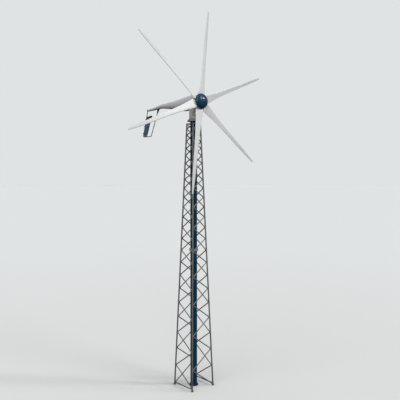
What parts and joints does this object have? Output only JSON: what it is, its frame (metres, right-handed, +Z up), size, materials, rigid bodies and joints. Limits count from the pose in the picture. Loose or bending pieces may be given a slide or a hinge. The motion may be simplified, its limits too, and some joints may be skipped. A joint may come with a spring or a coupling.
{
  "type": "small wind turbine",
  "caption": "Upwind small wind turbine: slender bladed rotor with domed spinner, tapered nacelle and hanging tail vane, turning on a pole braced by a tapering square lattice tower.",
  "frame": {"origin": "on the ground, on the tower's centre line, at the middle of the four foot anchors", "axes": "+Z up along the pole; the rotor faces -Y and the tail points to +Y; X and Y run square to the tower's faces"},
  "size_m": [3.8888, 2.3269, 8.4783],
  "materials": {
    "lattice_paint": "satin grey paint over galvanised steel",
    "pole_paint": "semi-gloss navy paint",
    "black_paint": "satin black paint",
    "flange_paint": "satin dark grey paint",
    "zinc_steel": "zinc-plated fasteners",
    "machined_steel": "turned steel, light oil",
    "head_paint": "satin mid grey paint on castings",
    "nacelle_skin": "mid grey gelcoat, satin",
    "tail_paint": "satin grey paint",
    "vane_paint": "semi-gloss blue paint",
    "black_trim": "matt black edging",
    "blade_gelcoat": "off-white gelcoat",
    "spinner_gelcoat": "glossy navy gelcoat",
    "cast_aluminium": "as-cast aluminium",
    "laminations": "varnished steel laminations",
    "copper_wire": null,
    "magnet_nickel": "nickel-plated magnets",
    "black_iron": "machined iron drum",
    "ring_brass": "bright contact rings",
    "insulator": "red-brown moulded insulator"
  },
  "bodies": {
    "tower": {"leg_front_left": "lattice_paint", "leg_front_right": "lattice_paint", "leg_rear_left": "lattice_paint", "leg_rear_right": "lattice_paint", "feet": "lattice_paint", "lacing_front": "lattice_paint", "lacing_right": "lattice_paint", "lacing_rear": "lattice_paint", "lacing_left": "lattice_paint", "top_ties": "lattice_paint", "pole_spacers": "lattice_paint", "pole_lower": "pole_paint", "pole_base_flange": "black_paint", "pole_upper": "pole_paint", "mid_flanges": "flange_paint", "mid_flange_bolts": "zinc_steel", "head_plate": "flange_paint", "head_bolts": "zinc_steel", "yaw_base": "flange_paint", "yaw_spindle": "machined_steel", "yaw_bearing_inner_rings": "machined_steel", "yaw_lock_nut": "machined_steel", "slip_ring_sleeve": "insulator", "slip_rings": "ring_brass"},
    "nacelle": {"bearing_outer_rings": "machined_steel", "yaw_housing": "head_paint", "nacelle_frame": "head_paint", "nacelle_shell_upper": "nacelle_skin", "nacelle_shell_lower": "nacelle_skin", "tail_cone": "nacelle_skin", "tail_spar": "tail_paint", "tail_frame": "tail_paint", "vane_bottom_channel": "tail_paint", "tail_end_cap": "tail_paint", "tail_front_sleeve": "black_trim", "vane_edge_trim": "black_trim", "vane_clips": "black_trim", "vane_panel": "vane_paint", "generator_case": "cast_aluminium", "generator_end_bells": "cast_aluminium", "stator_core": "laminations", "stator_windings": "copper_wire", "brush_block": "insulator"},
    "rotor": {"main_shaft": "machined_steel", "main_bearing_inner_rings": "machined_steel", "hub_plate": "machined_steel", "clamp_plate": "machined_steel", "blade_bolts": "zinc_steel", "shaft_nut": "machined_steel", "spinner": "spinner_gelcoat", "spinner_posts": "zinc_steel", "spinner_screws": "black_paint", "magnet_drum": "black_iron", "magnets": "magnet_nickel", "blade_1": "blade_gelcoat", "blade_2": "blade_gelcoat", "blade_3": "blade_gelcoat", "blade_4": "blade_gelcoat", "blade_5": "blade_gelcoat", "blade_6": "blade_gelcoat"}
  },
  "joints": [
    {"name": "yaw", "type": "hinge", "parent": "tower", "child": "nacelle", "pos_m": [0, 0, 6.17], "axis": [0, 0, 1], "continuous": true},
    {"name": "rotor_spin", "type": "hinge", "parent": "nacelle", "child": "rotor", "pos_m": [0, -0.2356, 6.429], "axis": [0, -0.9986, 0.0523], "continuous": true}
  ]
}
